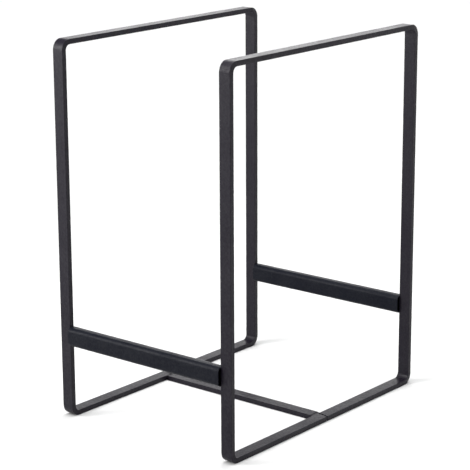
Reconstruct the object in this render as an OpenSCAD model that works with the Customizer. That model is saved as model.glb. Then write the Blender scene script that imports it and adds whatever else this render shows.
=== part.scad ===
// Firewood log rack: two closed flat-bar hoops, joined near the bottom by two tube rails and by a
// crossbar that lies on the floor. All joints are welds, and the weld metal has nodes of its own.
// Millimetres, +Z up. X runs from the left hoop to the right hoop, and the front is at -Y.
// The origin is on the floor, under the middle of the rack.

/* [Overall size] */
// Height of the hoops
rack_h = 600; // [400:5:800]
// Outside depth of each hoop, front to back
rack_d = 470; // [300:5:600]
// Outside width across the two hoops
rack_w = 345; // [200:5:500]

/* [Flat bar] */
// Width of the bar that the hoops and the crossbar are made of
bar_w = 20; // [12:1:40]
// Thickness of that bar
bar_t = 8; // [4:0.5:12]
// Outside radius of each bend in a hoop
bend_r = 16; // [12:0.5:60]
// Softened edge of the bar, as a chamfer
edge_c = 0.7; // [0.2:0.1:1.5]

/* [Rails] */
// Height of the rail tube
rail_h = 30; // [20:1:50]
// Depth of the rail tube, which stands proud of the hoops on both sides
rail_d = 20; // [12:1:40]
// Outside corner radius of the rail tube
rail_r = 7; // [2:0.5:9.5]
// Wall of the rail tube
rail_wall = 1.5; // [1:0.1:3]
// Height of the rails' underside above the floor
rail_z = 119; // [40:1:300]

/* [Welds] */
// Width of the butt seam that closes each hoop
seam_gap = 3; // [0.8:0.1:4]
// Distance of that seam behind the middle of the hoop's bottom bar
seam_y = 3.5; // [-40:0.5:40]
// Angle that the seam runs off square
seam_skew = 12; // [0:1:45]
// Width of the welds at the crossbar's ends
cross_gap = 5; // [0.8:0.1:8]
// Depth that the seam's weld lies below the top and the bottom of the bar
seam_sink = 1.2; // [0.2:0.1:2]
// Depth that ground welds lie below the bar's other faces
weld_sink = 0.3; // [0.2:0.1:1]
// Leg of the small fillet welds above and below the rail ends
fillet_leg = 1; // [0.5:0.1:5]

/* [Hidden] */
black_paint = [0.10, 0.10, 0.11];
weld_paint = [0.07, 0.07, 0.08];
span = rack_w - 2 * bar_w;
hoop_x = (rack_w - bar_w) / 2;
rail_y = (rack_d - bar_t) / 2;
fillet_len = rail_d - 2 * rail_r;
oversize = 3; // a cutting slab is this many times the size of what it cuts
$fn = 64;

// Section of the flat bar, with chamfered corners. Its thickness lies along X.
module bar_section(thick = bar_t, wide = bar_w, c = edge_c) {
    a = thick / 2;
    b = wide / 2;
    polygon([
        [a - c, -b], [a, -b + c], [a, b - c], [a - c, b],
        [c - a, b], [-a, b - c], [-a, c - b], [c - a, -b]
    ]);
}

// One quarter bend of the hoop, in the hoop's own plane.
module bend(side, top) {
    turn = top > 0 ? (side > 0 ? 0 : 90) : (side > 0 ? 270 : 180);
    translate([side * (rack_d / 2 - bend_r), rack_h / 2 + top * (rack_h / 2 - bend_r), 0])
        rotate([0, 0, turn])
            rotate_extrude(angle = 90)
                translate([bend_r - bar_t / 2, 0])
                    bar_section();
}

// The level stretch of the hoop at the given height of its middle.
module level_stretch(y) {
    run = rack_d - 2 * bend_r;
    translate([-run / 2, y, 0])
        rotate([90, 0, 90])
            linear_extrude(height = run)
                bar_section();
}

// The upright stretch of the hoop on the given side.
module upright_stretch(side) {
    run = rack_h - 2 * bend_r;
    translate([side * rail_y, bend_r, 0])
        rotate([-90, 0, 0])
            linear_extrude(height = run)
                bar_section();
}

// Slab that the seam takes out of the hoop's bottom bar.
module seam_slab() {
    translate([seam_y, bar_t / 2, 0])
        rotate([0, -seam_skew, 0])
            cube([seam_gap, oversize * bar_t, oversize * bar_w], center = true);
}

// One bar bent into a rounded rectangle, open only at the seam. It is drawn in its own plane.
module hoop_flat() {
    difference() {
        union() {
            for (side = [-1, 1]) {
                upright_stretch(side);
                bend(side, 1);
                bend(side, -1);
            }
            level_stretch(bar_t / 2);
            level_stretch(rack_h - bar_t / 2);
        }
        seam_slab();
    }
}

// Stands a shape drawn in a hoop's plane up on the floor, at the left or the right.
module stand_up(side) {
    translate([side * hoop_x, 0, 0])
        rotate([90, 0, 90])
            children();
}

module left_hoop() {
    color(black_paint)
        stand_up(-1)
            hoop_flat();
}

module right_hoop() {
    color(black_paint)
        stand_up(1)
            hoop_flat();
}

// Rectangle with round corners, centred.
module round_rect(a, b, r) {
    square([a - 2 * r, b], center = true);
    square([a, b - 2 * r], center = true);
    for (sx = [-1, 1])
        for (sy = [-1, 1])
            translate([sx * (a / 2 - r), sy * (b / 2 - r)])
                circle(r = r);
}

// Open-ended tube that spans the hoops, at the front or the back.
module rail(side) {
    translate([-span / 2, side * rail_y, rail_z + rail_h / 2])
        rotate([90, 0, 90])
            linear_extrude(height = span)
                difference() {
                    round_rect(rail_d, rail_h, rail_r);
                    round_rect(rail_d - 2 * rail_wall, rail_h - 2 * rail_wall, rail_r - rail_wall);
                }
}

module front_rail() {
    color(black_paint)
        rail(-1);
}

module back_rail() {
    color(black_paint)
        rail(1);
}

module floor_crossbar() {
    run = span - 2 * cross_gap;
    color(black_paint)
        translate([-run / 2, 0, bar_t / 2])
            rotate([0, 90, 0])
                linear_extrude(height = run)
                    bar_section();
}

// Weld metal in the seam of each hoop, which leaves a narrow groove across the bar's top and bottom.
module hoop_seam_welds() {
    run = oversize * bar_w;
    color(weld_paint)
        for (side = [-1, 1])
            stand_up(side)
                intersection() {
                    seam_slab();
                    translate([seam_y - run / 2, bar_t / 2, 0])
                        rotate([90, 0, 90])
                            linear_extrude(height = run)
                                bar_section(bar_t - 2 * seam_sink, bar_w - 2 * weld_sink);
                }
}

// Weld metal between each end of the crossbar and the hoop beside it, ground almost flush.
module crossbar_welds() {
    color(weld_paint)
        for (side = [-1, 1])
            translate([side * (span - cross_gap) / 2 - cross_gap / 2, 0, bar_t / 2])
                rotate([0, 90, 0])
                    linear_extrude(height = cross_gap)
                        bar_section(bar_t - 2 * weld_sink, bar_w - 2 * weld_sink);
}

// Fillet welds where the top and the bottom of each rail meet the hoops.
module rail_welds() {
    color(weld_paint)
        for (sx = [-1, 1])
            for (sy = [-1, 1])
                for (sz = [-1, 1])
                    translate([sx * span / 2, sy * rail_y, rail_z + rail_h / 2 + sz * rail_h / 2])
                        rotate([90, 0, 0])
                            linear_extrude(height = fillet_len, center = true)
                                polygon([[0, 0], [-sx * fillet_leg, 0], [0, sz * fillet_leg]]);
}

left_hoop();
right_hoop();
front_rail();
back_rail();
floor_crossbar();
hoop_seam_welds();
crossbar_welds();
rail_welds();
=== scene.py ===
"""Firewood log rack: its looks, floor, light and camera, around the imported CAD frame.

Metres, +Z up. The left hoop is at -X, the right hoop at +X, and the front is at -Y.
"""

import math

import bmesh
import bpy
from mathutils import Matrix, Vector, noise

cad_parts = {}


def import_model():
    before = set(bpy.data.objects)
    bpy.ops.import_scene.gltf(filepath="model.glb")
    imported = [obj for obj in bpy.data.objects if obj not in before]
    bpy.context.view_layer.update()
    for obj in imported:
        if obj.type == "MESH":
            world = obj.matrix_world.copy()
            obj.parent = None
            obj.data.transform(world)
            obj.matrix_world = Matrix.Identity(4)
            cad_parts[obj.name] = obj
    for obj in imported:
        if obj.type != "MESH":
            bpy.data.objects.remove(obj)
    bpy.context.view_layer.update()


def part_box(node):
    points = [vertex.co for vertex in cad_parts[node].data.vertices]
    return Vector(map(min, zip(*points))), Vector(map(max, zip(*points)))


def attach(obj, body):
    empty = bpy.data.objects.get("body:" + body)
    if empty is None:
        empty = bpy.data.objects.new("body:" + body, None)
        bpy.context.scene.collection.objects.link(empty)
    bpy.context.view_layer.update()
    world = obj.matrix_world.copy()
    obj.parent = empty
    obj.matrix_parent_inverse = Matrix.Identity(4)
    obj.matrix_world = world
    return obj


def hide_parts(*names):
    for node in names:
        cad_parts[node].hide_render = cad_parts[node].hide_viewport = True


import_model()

# ---- Sizes, from the frame where it has them ----

hoop_low, hoop_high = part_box("right_hoop")
rail_low, rail_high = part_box("front_rail")
cross_low, cross_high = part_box("floor_crossbar")
seam_low, seam_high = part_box("hoop_seam_welds")

BAR_WIDTH = hoop_high.x - hoop_low.x
BAR_THICK = cross_high.z
HOOP_X = (hoop_high.x + hoop_low.x) / 2
HOOP_HEIGHT = hoop_high.z
HOOP_DEPTH = hoop_high.y - hoop_low.y
RAIL_DEPTH = rail_high.y - rail_low.y
RAIL_HEIGHT = rail_high.z - rail_low.z
RAIL_Y = -(rail_low.y + rail_high.y) / 2
RAIL_MID_Z = (rail_low.z + rail_high.z) / 2
SPAN = rail_high.x - rail_low.x
SEAM_Y = (seam_low.y + seam_high.y) / 2

BEND_RADIUS = 0.016         # outside radius of the hoops' bends
BEND_STEPS = 14
BEND_FLARE = 0.00035        # the bar swells this much at the inside of a bend, and narrows outside
BAR_EDGE = 0.0004           # rolled edge radius of the flat bar
BAR_EDGE_STEPS = 4
CUT_RIM = 0.0003            # width of the rim round a bar's cut end
CUT_CROWN = 0.5             # the flat inside that rim stands out by this part of its width
CUT_PAINTED_SHADE = 3.0              # the "edge" value at a cut end, where a rolled edge has 1: painted shade that darkens the cut faces across the seam's gap
RAIL_CORNER = 0.007         # outside corner radius of the tube
RAIL_CORNER_STEPS = 8
RAIL_WALL = 0.0015
RAIL_LIP = 0.0003           # softened rim at the tube's cut ends
SEAM_GAP = 0.0030           # width of the seam that closes a hoop
SEAM_SKEW = math.radians(12)
SEAM_SINK = 0.0012          # depth of the seam's weld below the bar's top and bottom
CROSS_GAP = (SPAN - (cross_high.x - cross_low.x)) / 2
WELD_SINK = 0.0003          # depth of ground welds below the bar's other faces
WELD_RINGS = 5              # steps across the gap of a ground weld
WELD_DISH = 0.06            # a ground weld is thinner by this part in the middle of its gap
LUMP_SIZE = 0.00008         # unevenness of a ground weld
LUMPS_PER_METRE = 900
RING_STEP = 0.010           # spacing of the rings along straight stretches
SMOOTH_BELOW = math.radians(50)     # edges with a larger angle than this stay sharp


# ---- Mesh tools ----

def rounded_rect(width, height, radius, steps):
    """Outline of a rounded rectangle, anticlockwise from the right side, as (u, v, edge).

    edge is 1 in the middle of a corner's arc and 0 at the arc's ends.
    """
    points = []
    for corner, (su, sv) in enumerate(((1, 1), (-1, 1), (-1, -1), (1, -1))):
        cu, cv = su * (width / 2 - radius), sv * (height / 2 - radius)
        for k in range(steps + 1):
            angle = math.radians(90) * (corner + k / steps)
            inside_arc = math.sin(math.pi * k / steps)
            points.append((cu + radius * math.cos(angle), cv + radius * math.sin(angle), inside_arc))
    return points


def join(bm, a, b):
    """Quads between two rings of vertices."""
    for i in range(len(a)):
        j = (i + 1) % len(a)
        bm.faces.new((a[i], a[j], b[j], b[i]))


def skin(bm, rings, edge=None):
    """Quads between successive rings of points. Returns the vertices, ring by ring.

    edge holds a value for each point of a ring, which the coat takes as how rubbed it is and how much
    painted shade it gets.
    """
    layer = bm.verts.layers.float.get("edge") or bm.verts.layers.float.new("edge")
    made = []
    for ring in rings:
        row = []
        for i, point in enumerate(ring):
            vert = bm.verts.new(point)
            vert[layer] = edge[i] if edge else 0.0
            row.append(vert)
        made.append(row)
    for a, b in zip(made, made[1:]):
        join(bm, a, b)
    return made


def cap(bm, ring, outward):
    """Closes the end of a bar with a narrow rim and a flat face, both dark with painted shade. outward
    points away from the bar.
    """
    layer = bm.verts.layers.float["edge"]
    centre = sum((v.co for v in ring), Vector()) / len(ring)
    rim = []
    for v in ring:
        inward = centre - v.co
        place = v.co + inward * (CUT_RIM / inward.length) + outward * CUT_RIM * CUT_CROWN
        rim.append(bm.verts.new(place))
    # painted shade: the cut face is made as dark as the shade inside the seam's gap
    for v in rim:
        v[layer] = CUT_PAINTED_SHADE
    join(bm, ring, rim)
    bm.faces.new(rim)


def new_piece(name, bm, material, node):
    """Turns a bmesh into a smooth-shaded piece that stands for a CAD node."""
    bmesh.ops.recalc_face_normals(bm, faces=bm.faces)
    mesh = bpy.data.meshes.new(name)
    bm.to_mesh(mesh)
    bm.free()
    mesh.polygons.foreach_set("use_smooth", [True] * len(mesh.polygons))
    mesh.set_sharp_from_angle(angle=SMOOTH_BELOW)
    piece = bpy.data.objects.new(name, mesh)
    bpy.context.scene.collection.objects.link(piece)
    piece.data.materials.append(material)
    weighted = piece.modifiers.new("flat faces stay flat", "WEIGHTED_NORMAL")
    weighted.keep_sharp = True
    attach(piece, "root")
    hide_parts(node)


# ---- Materials ----

# Detail of the coats, as features per metre. The wear patches also break up the painted edge shade.
CLOUDS, MOTTLES, PINHOLES, WEAR_AND_SHADE_PATCHES, PEEL, GRAIN = 22, 330, 420, 160, 300, 2100

# What each adds to or takes from a coat's lift, as a part of it. The wear tint takes away both wear and
# painted edge shade.
CLOUD_TINT, MOTTLE_TINT, WEAR_AND_SHADE_TINT, PINHOLE_TINT = 0.3, 0.7, 0.6, 0.5

# What each adds to or takes from a coat's roughness.
CLOUD_ROUGH, MOTTLE_ROUGH, WEAR_ROUGH = 0.03, 0.06, 0.30

NOISE_LOW, NOISE_HIGH = 0.35, 0.65      # where a noise mostly lies
PINHOLE_CORE, PINHOLE_RIM = 0.10, 0.16  # distances from a pinhole's middle, in cells
WEAR_AND_SHADE_LEAST = 0.2                        # wear and painted shade between the most rubbed patches, which have 1


def maths(tree, operation, a, b, clamp=False):
    """A Math node whose inputs are sockets or numbers."""
    made = tree.nodes.new("ShaderNodeMath")
    made.operation = operation
    made.use_clamp = clamp
    for socket, value in zip(made.inputs, (a, b)):
        if isinstance(value, (int, float)):
            socket.default_value = value
        else:
            tree.links.new(value, socket)
    return made.outputs[0]


def noise_at(tree, where, per_metre, detail, rough):
    """Noise with about the given number of features per metre.

    detail is the number of finer layers, and rough is how strong each is beside the one before it.
    """
    made = tree.nodes.new("ShaderNodeTexNoise")
    made.inputs["Scale"].default_value = per_metre
    made.inputs["Detail"].default_value = detail
    made.inputs["Roughness"].default_value = rough
    tree.links.new(where, made.inputs["Vector"])
    return made.outputs["Fac"]


def remap(tree, value, low, high, to_low, to_high):
    """Maps low to to_low and high to to_high, and clamps what lies beyond."""
    made = tree.nodes.new("ShaderNodeMapRange")
    made.inputs["From Min"].default_value = low
    made.inputs["From Max"].default_value = high
    made.inputs["To Min"].default_value = to_low
    made.inputs["To Max"].default_value = to_high
    tree.links.new(value, made.inputs["Value"])
    return made.outputs["Result"]


def spread(tree, value, to_low, to_high):
    """Maps the range where a noise mostly lies to the given one."""
    return remap(tree, value, NOISE_LOW, NOISE_HIGH, to_low, to_high)


def powder_coat(name, shade, lift, ior, rough, peel_depth, grain_depth):
    """Matte black powder coat, with orange peel, fine grain, clouding, mottling, pinholes, and edges
    darkened by rubbing and by painted shade.

    shade is the darkest colour, and lift is what clouding and mottling add to it, at most. Rubbed edges
    are darker, from wear and from painted shade, and duller, where the "edge" attribute of the mesh is
    above 0; cut ends get the darkest painted shade. Depths are in metres.
    """
    material = bpy.data.materials.new(name)
    material.use_nodes = True
    tree = material.node_tree
    shader = tree.nodes["Principled BSDF"]
    where = tree.nodes.new("ShaderNodeTexCoord").outputs["Object"]

    edge = tree.nodes.new("ShaderNodeAttribute")
    edge.attribute_name = "edge"
    # painted shade with wear: the "edge" mask, broken into patches, darkens rolled edges and cut ends
    patches = remap(tree, noise_at(tree, where, WEAR_AND_SHADE_PATCHES, 4, 0.6), 0.42, 0.62, WEAR_AND_SHADE_LEAST, 1.0)
    wear_and_shade = maths(tree, "MULTIPLY", edge.outputs["Fac"], patches)

    cloud = noise_at(tree, where, CLOUDS, 3, 0.55)
    mottle = noise_at(tree, where, MOTTLES, 3, 0.65)
    cells = tree.nodes.new("ShaderNodeTexVoronoi")
    cells.inputs["Scale"].default_value = PINHOLES
    tree.links.new(where, cells.inputs["Vector"])
    pinhole = remap(tree, cells.outputs["Distance"], PINHOLE_CORE, PINHOLE_RIM, 1.0, 0.0)

    cloud_tint = spread(tree, cloud, 0.0, CLOUD_TINT)
    amount = maths(tree, "ADD", cloud_tint, spread(tree, mottle, 0.0, MOTTLE_TINT))
    # painted shade: darker along rolled edges and cut ends, partly from real rubbing
    amount = maths(tree, "SUBTRACT", amount, maths(tree, "MULTIPLY", wear_and_shade, WEAR_AND_SHADE_TINT))
    amount = maths(tree, "SUBTRACT", amount, maths(tree, "MULTIPLY", pinhole, PINHOLE_TINT))
    amount = maths(tree, "MAXIMUM", amount, 0.0)
    tint = tree.nodes.new("ShaderNodeMix")
    tint.data_type = "RGBA"
    tint.clamp_factor = False
    # In a colour mix, inputs 6 and 7 are the two colours, and output 2 is the result.
    tint.inputs[6].default_value = (*shade, 1)
    tint.inputs[7].default_value = (*(a + lift for a in shade), 1)
    tree.links.new(amount, tint.inputs[0])
    tree.links.new(tint.outputs[2], shader.inputs["Base Color"])

    dull = spread(tree, cloud, rough + CLOUD_ROUGH, rough - CLOUD_ROUGH)
    dull = maths(tree, "ADD", dull, maths(tree, "MULTIPLY", wear_and_shade, WEAR_ROUGH))
    mottle_dull = spread(tree, mottle, MOTTLE_ROUGH, -MOTTLE_ROUGH)
    dull = maths(tree, "ADD", dull, mottle_dull, clamp=True)
    tree.links.new(dull, shader.inputs["Roughness"])

    peel = maths(tree, "MULTIPLY", noise_at(tree, where, PEEL, 2, 0.5), peel_depth)
    grain = maths(tree, "MULTIPLY", noise_at(tree, where, GRAIN, 2, 0.6), grain_depth)
    height = maths(tree, "ADD", peel, grain)
    height = maths(tree, "SUBTRACT", height, maths(tree, "MULTIPLY", pinhole, grain_depth))
    bump = tree.nodes.new("ShaderNodeBump")
    bump.inputs["Strength"].default_value = 1.0
    bump.inputs["Distance"].default_value = 1.0
    tree.links.new(height, bump.inputs["Height"])
    tree.links.new(bump.outputs["Normal"], shader.inputs["Normal"])
    shader.inputs["IOR"].default_value = ior
    return material


bar_coat = powder_coat(
    "bar_powder_coat", shade=(0.0016, 0.0001, 0.0046), lift=0.0115, ior=1.248, rough=0.38,
    peel_depth=0.00040, grain_depth=0.000014)
rail_coat = powder_coat(
    "tube_powder_coat", shade=(0.0000, 0.0007, 0.0044), lift=0.0085, ior=1.172, rough=0.42,
    peel_depth=0.00045, grain_depth=0.000014)
weld_coat = powder_coat(
    "weld_powder_coat", shade=(0.0010, 0.0004, 0.0030), lift=0.0090, ior=1.205, rough=0.46,
    peel_depth=0.00040, grain_depth=0.00002)


# ---- Pieces ----

def hoop_path():
    """The middle line of a hoop in its own plane, from one side of the seam round to the other.

    Each station is (y, z, outward y, outward z, bend), and bend is above 0 only inside a bend.
    """
    half, top, middle = HOOP_DEPTH / 2, HOOP_HEIGHT, BAR_THICK / 2
    line = BEND_RADIUS - middle
    corners = ((half, 0, -90), (half, top, 0), (-half, top, 90), (-half, 0, 180))
    stations = [(SEAM_Y, middle, 0.0, -1.0, 0.0)]

    def straight_to(y, z, out_y, out_z):
        y0, z0 = stations[-1][:2]
        count = max(2, round(math.hypot(y - y0, z - z0) / RING_STEP))
        for k in range(1, count + 1):
            t = k / count
            stations.append((y0 + (y - y0) * t, z0 + (z - z0) * t, out_y, out_z, 0.0))

    for y, z, start in corners:
        cy = y - math.copysign(BEND_RADIUS, y)
        cz = BEND_RADIUS if z == 0 else z - BEND_RADIUS
        a = math.radians(start)
        straight_to(cy + line * math.cos(a), cz + line * math.sin(a), math.cos(a), math.sin(a))
        for k in range(1, BEND_STEPS + 1):
            a = math.radians(start + 90 * k / BEND_STEPS)
            bend = math.sin(math.pi * k / BEND_STEPS) ** 0.5 if k < BEND_STEPS else 0.0
            y_out, z_out = math.cos(a), math.sin(a)
            stations.append((cy + line * y_out, cz + line * z_out, y_out, z_out, bend))
    straight_to(SEAM_Y, middle, 0.0, -1.0)
    return stations


def hoop(name, node, side):
    """One flat bar, swept round the hoop from one slanted cut to the other."""
    outline = rounded_rect(BAR_WIDTH, BAR_THICK, BAR_EDGE, BAR_EDGE_STEPS)
    edge = [e for _, _, e in outline]
    stations = hoop_path()
    last = len(stations) - 1
    bm = bmesh.new()
    rings = []
    for i, (y, z, out_y, out_z, bend) in enumerate(stations):
        ring = []
        for u, v, _ in outline:
            across = u * (1 - bend * BEND_FLARE / (BAR_WIDTH / 2) * v / (BAR_THICK / 2))
            slant = 0.0
            if i in (0, last):
                cut = SEAM_GAP / 2 / math.cos(SEAM_SKEW)
                slant = -across * math.tan(SEAM_SKEW) + (cut if i == 0 else -cut)
            ring.append(Vector((side * HOOP_X + across, y + out_y * v + slant, z + out_z * v)))
        rings.append(ring)
    made = skin(bm, rings, edge=edge)
    outward = Vector((math.sin(SEAM_SKEW), math.cos(SEAM_SKEW), 0))
    cap(bm, made[0], -outward)
    cap(bm, made[-1], outward)
    new_piece(name, bm, bar_coat, node)


def crossbar():
    """The flat bar on the floor."""
    outline = rounded_rect(BAR_WIDTH, BAR_THICK, BAR_EDGE, BAR_EDGE_STEPS)
    edge = [e for _, _, e in outline]
    length = cross_high.x - cross_low.x
    count = round(length / RING_STEP)
    bm = bmesh.new()
    rings = [
        [Vector((cross_low.x + length * k / count, u, BAR_THICK / 2 + v)) for u, v, _ in outline]
        for k in range(count + 1)
    ]
    made = skin(bm, rings, edge=edge)
    cap(bm, made[0], Vector((-1, 0, 0)))
    cap(bm, made[-1], Vector((1, 0, 0)))
    new_piece("crossbar_flat", bm, bar_coat, "floor_crossbar")


def rail(name, node, side):
    """Open-ended tube with round corners, walls and softened cut ends."""
    outer = rounded_rect(RAIL_DEPTH, RAIL_HEIGHT, RAIL_CORNER, RAIL_CORNER_STEPS)
    inner = rounded_rect(
        RAIL_DEPTH - 2 * RAIL_WALL, RAIL_HEIGHT - 2 * RAIL_WALL, RAIL_CORNER - RAIL_WALL,
        RAIL_CORNER_STEPS)
    middle = [((a[0] + b[0]) / 2, (a[1] + b[1]) / 2, 0) for a, b in zip(outer, inner)]
    count = round(SPAN / RING_STEP)
    bm = bmesh.new()

    def ring(shape, x):
        return [Vector((x, side * RAIL_Y + u, RAIL_MID_Z + v)) for u, v, _ in shape]

    def blend(a, b, t):
        return [(p[0] + (q[0] - p[0]) * t, p[1] + (q[1] - p[1]) * t, 0) for p, q in zip(a, b)]

    lip = RAIL_LIP / RAIL_WALL
    end = [blend(outer, inner, lip), middle, blend(outer, inner, 1 - lip)]
    left, right = -SPAN / 2, SPAN / 2
    xs = [left + RAIL_LIP + (SPAN - 2 * RAIL_LIP) * k / count for k in range(count + 1)]
    rings = [ring(outer, x) for x in xs]
    rings += [ring(shape, right) for shape in end]
    rings += [ring(inner, x) for x in reversed(xs)]
    rings += [ring(shape, left) for shape in reversed(end)]
    made = skin(bm, rings)
    join(bm, made[-1], made[0])
    new_piece(name, bm, rail_coat, node)


noise.seed_set(3)           # so that the welds' lumps are the same in every run


def ground_weld(bm, centre, along, across, sink):
    """Uneven weld metal between two bar ends.

    along spans the gap, across follows its skew, and sink is how far the metal lies below the bar's
    top and bottom.
    """
    outline = rounded_rect(BAR_WIDTH - 2 * WELD_SINK, BAR_THICK - 2 * sink, BAR_EDGE, BAR_EDGE_STEPS)
    rings = []
    for k in range(WELD_RINGS + 1):
        t = k / WELD_RINGS - 0.5
        dish = 1 - WELD_DISH * math.cos(math.pi * t)
        ring = []
        for u, v, _ in outline:
            point = centre + across(u) + along * t + Vector((0, 0, v * dish))
            ring.append(point + noise.noise_vector(point * LUMPS_PER_METRE) * LUMP_SIZE)
        rings.append(ring)
    made = skin(bm, rings)
    bm.faces.new(made[0])
    bm.faces.new(made[-1])


def seam_welds():
    """The weld that closes each hoop."""
    bm = bmesh.new()
    for side in (-1, 1):
        ground_weld(
            bm,
            Vector((side * HOOP_X, SEAM_Y, BAR_THICK / 2)),
            Vector((0, SEAM_GAP / math.cos(SEAM_SKEW), 0)),
            lambda u: Vector((u, -u * math.tan(SEAM_SKEW), 0)),
            SEAM_SINK,
        )
    new_piece("hoop_seam_weld_metal", bm, weld_coat, "hoop_seam_welds")


def crossbar_welds():
    """The weld at each end of the crossbar."""
    bm = bmesh.new()
    for side in (-1, 1):
        ground_weld(
            bm,
            Vector((side * (SPAN - CROSS_GAP) / 2, 0, BAR_THICK / 2)),
            Vector((CROSS_GAP, 0, 0)),
            lambda u: Vector((0, u, 0)),
            WELD_SINK,
        )
    new_piece("crossbar_weld_metal", bm, weld_coat, "crossbar_welds")


BEAD_STEPS, BEAD_AROUND = 18, 8
BEAD_END = 0.25             # size of a bead at its ends, as a part of its leg
BEAD_RIPPLES = 4
RIPPLE_HEIGHT = 0.10
BEAD_REACH = 0.80           # how far a bead runs along each surface, as a part of its leg
BEAD_CROWN = 0.14           # how far its middle stands out past that


def rail_welds():
    """Small fillet beads with ripples, above and below each rail end."""
    low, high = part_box("rail_welds")
    leg = (high.z - low.z - RAIL_HEIGHT) / 2
    length = RAIL_DEPTH - 2 * RAIL_CORNER
    bm = bmesh.new()
    for sx in (-1, 1):
        for sy in (-1, 1):
            for sz in (-1, 1):
                corner = Vector((sx * SPAN / 2, sy * RAIL_Y, RAIL_MID_Z + sz * RAIL_HEIGHT / 2))
                rings = []
                for k in range(BEAD_STEPS + 1):
                    t = k / BEAD_STEPS
                    swell = math.sqrt(max(0.0, 1 - (2 * t - 1) ** 4))
                    ripple = 1 + RIPPLE_HEIGHT * abs(math.sin(math.pi * BEAD_RIPPLES * t))
                    size = leg * (BEAD_END + (1 - BEAD_END) * swell) * ripple
                    y = (t - 0.5) * length
                    ring = [corner + Vector((0, y, 0))]
                    for i in range(BEAD_AROUND + 1):
                        a = math.radians(90) * i / BEAD_AROUND
                        reach = size * (BEAD_REACH + BEAD_CROWN * math.sin(2 * a))
                        across, up = -sx * reach * math.cos(a), sz * reach * math.sin(a)
                        ring.append(corner + Vector((across, y, up)))
                    rings.append(ring)
                made = skin(bm, rings)
                bm.faces.new(made[0])
                bm.faces.new(made[-1])
    new_piece("rail_weld_beads", bm, weld_coat, "rail_welds")


hoop("left_hoop_bar", "left_hoop", -1)
hoop("right_hoop_bar", "right_hoop", 1)
rail("front_rail_tube", "front_rail", -1)
rail("back_rail_tube", "back_rail", 1)
crossbar()
seam_welds()
crossbar_welds()
rail_welds()


# ---- Stage: floor, light and camera ----

FLOOR_SIZE = 60.0
FLOOR_DROP = 0.0002         # gap below the rack, so that the two surfaces don't flicker
FLOOR_FAR = 0.92            # albedo of the white sweep
FLOOR_NEAR = 0.58           # albedo under the softboxes, so that their pool of light doesn't burn out
POOL_CENTRE = (-0.5, -0.4, 0.0)
POOL_INNER, POOL_OUTER = 0.2, 2.6   # where the change to the sweep's albedo starts and ends


def floor():
    """Matte white sweep, a little greyer in the pool of light round the rack."""
    bpy.ops.mesh.primitive_grid_add(
        x_subdivisions=8, y_subdivisions=8, size=FLOOR_SIZE, location=(0, 0, -FLOOR_DROP))
    made = bpy.context.object
    made.name = "pale_floor"
    material = bpy.data.materials.new("pale_floor")
    material.use_nodes = True
    tree = material.node_tree
    shader = tree.nodes["Principled BSDF"]
    apart = tree.nodes.new("ShaderNodeVectorMath")
    apart.operation = "DISTANCE"
    tree.links.new(tree.nodes.new("ShaderNodeTexCoord").outputs["Object"], apart.inputs[0])
    apart.inputs[1].default_value = POOL_CENTRE
    pool = tree.nodes.new("ShaderNodeMapRange")
    pool.interpolation_type = "SMOOTHSTEP"
    pool.inputs["From Min"].default_value = POOL_INNER
    pool.inputs["From Max"].default_value = POOL_OUTER
    pool.inputs["To Min"].default_value = FLOOR_NEAR
    pool.inputs["To Max"].default_value = FLOOR_FAR
    tree.links.new(apart.outputs["Value"], pool.inputs["Value"])
    tree.links.new(pool.outputs["Result"], shader.inputs["Base Color"])
    shader.inputs["Roughness"].default_value = 0.9
    shader.inputs["Specular IOR Level"].default_value = 0.1
    made.data.materials.append(material)


# Softboxes around the rack: name, place, what it faces, width, height, watts.
SOFTBOXES = (
    ("overhead", (0, 0, 1.5), (0, 0, 0), 1.0, 1.0, 9.7),
    ("back_left", (-0.35, 0.55, 1.3), (0.1, -0.1, 0.5), 0.5, 0.5, 4.4),
    ("front_left_low", (-1.1, -1.3, 0.6), (0, 0, 0.4), 0.6, 0.6, 5.1),
    ("front_left_middle", (-1.1, -1.3, 0.95), (0, 0, 0.4), 0.6, 0.6, 14.3),
    ("front_left_high", (-0.7, -1.2, 1.6), (0, 0, 0.4), 0.8, 0.8, 16.7),
)


def softbox(name, place, target, width, height, watts):
    """An area light that faces its target and that the camera doesn't see."""
    light = bpy.data.lights.new(name, "AREA")
    light.shape = "RECTANGLE"
    light.size, light.size_y = width, height
    light.energy = watts
    lamp = bpy.data.objects.new(name, light)
    bpy.context.scene.collection.objects.link(lamp)
    lamp.location = place
    lamp.rotation_mode = "QUATERNION"
    lamp.rotation_quaternion = (Vector(target) - Vector(place)).to_track_quat("-Z", "Y")
    lamp.visible_camera = False


# Broad glows of the studio's white backdrop: the way to each, how narrow it is, and its strength.
GLOWS = (
    ((0, 0, 1), 14, 7.2),
    ((-0.61, 0.75, 0.15), 20, 1.7),
    ((-0.90, -0.30, 0.15), 12, 2.0),
)
HORIZON_GLOW = 2.6
HORIZON_SPREAD = 0.2        # how far above and below the horizon its glow reaches, as a sine


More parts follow.
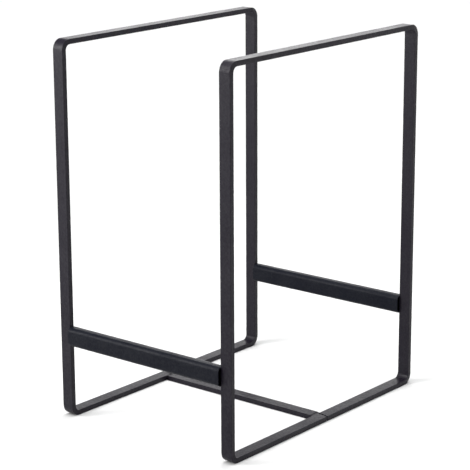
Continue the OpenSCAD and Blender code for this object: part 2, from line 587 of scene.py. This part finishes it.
def world():
    """White studio light from all around the horizon, with the broad glows added."""
    made = bpy.data.worlds.new("studio")
    made.use_nodes = True
    tree = made.node_tree
    way = tree.nodes.new("ShaderNodeTexCoord").outputs["Generated"]
    split = tree.nodes.new("ShaderNodeSeparateXYZ")
    tree.links.new(way, split.inputs[0])
    height = maths(tree, "DIVIDE", split.outputs["Z"], HORIZON_SPREAD)
    fall = maths(tree, "MULTIPLY", maths(tree, "MULTIPLY", height, height), -1.0)
    total = maths(tree, "POWER", math.e, fall)
    total = maths(tree, "MULTIPLY", total, HORIZON_GLOW)
    for towards, narrow, strength in GLOWS:
        facing = tree.nodes.new("ShaderNodeVectorMath")
        facing.operation = "DOT_PRODUCT"
        tree.links.new(way, facing.inputs[0])
        facing.inputs[1].default_value = Vector(towards).normalized()
        glow = maths(tree, "POWER", maths(tree, "MAXIMUM", facing.outputs["Value"], 0.0), narrow)
        total = maths(tree, "ADD", total, maths(tree, "MULTIPLY", glow, strength))
    background = tree.nodes["Background"]
    background.inputs["Color"].default_value = (1, 1, 1, 1)
    tree.links.new(total, background.inputs["Strength"])
    bpy.context.scene.world = made


CAMERA_PLACE = Vector((1.7544, -2.1595, 1.0151))
CAMERA_AZIMUTH = math.radians(39.275)
CAMERA_ELEVATION = math.radians(14.906)
CAMERA_ROLL = math.radians(-0.237)
CAMERA_LENS = 138.8
SENSOR = 36.0


def camera():
    """The camera, turned by its azimuth, elevation and roll."""
    data = bpy.data.cameras.new("camera")
    data.sensor_width = SENSOR
    data.lens = CAMERA_LENS
    data.clip_start, data.clip_end = 0.05, 200
    made = bpy.data.objects.new("camera", data)
    bpy.context.scene.collection.objects.link(made)
    ahead = Vector((
        -math.sin(CAMERA_AZIMUTH) * math.cos(CAMERA_ELEVATION),
        math.cos(CAMERA_AZIMUTH) * math.cos(CAMERA_ELEVATION),
        -math.sin(CAMERA_ELEVATION),
    ))
    level = Vector((math.cos(CAMERA_AZIMUTH), math.sin(CAMERA_AZIMUTH), 0))
    above = level.cross(ahead)
    right = math.cos(CAMERA_ROLL) * level + math.sin(CAMERA_ROLL) * above
    up = math.cos(CAMERA_ROLL) * above - math.sin(CAMERA_ROLL) * level
    turn = Matrix((right, up, -ahead)).transposed().to_4x4()
    made.matrix_world = Matrix.Translation(CAMERA_PLACE) @ turn
    bpy.context.scene.camera = made


floor()
world()
for box in SOFTBOXES:
    softbox(*box)
camera()
bpy.context.scene.view_settings.view_transform = "Standard"
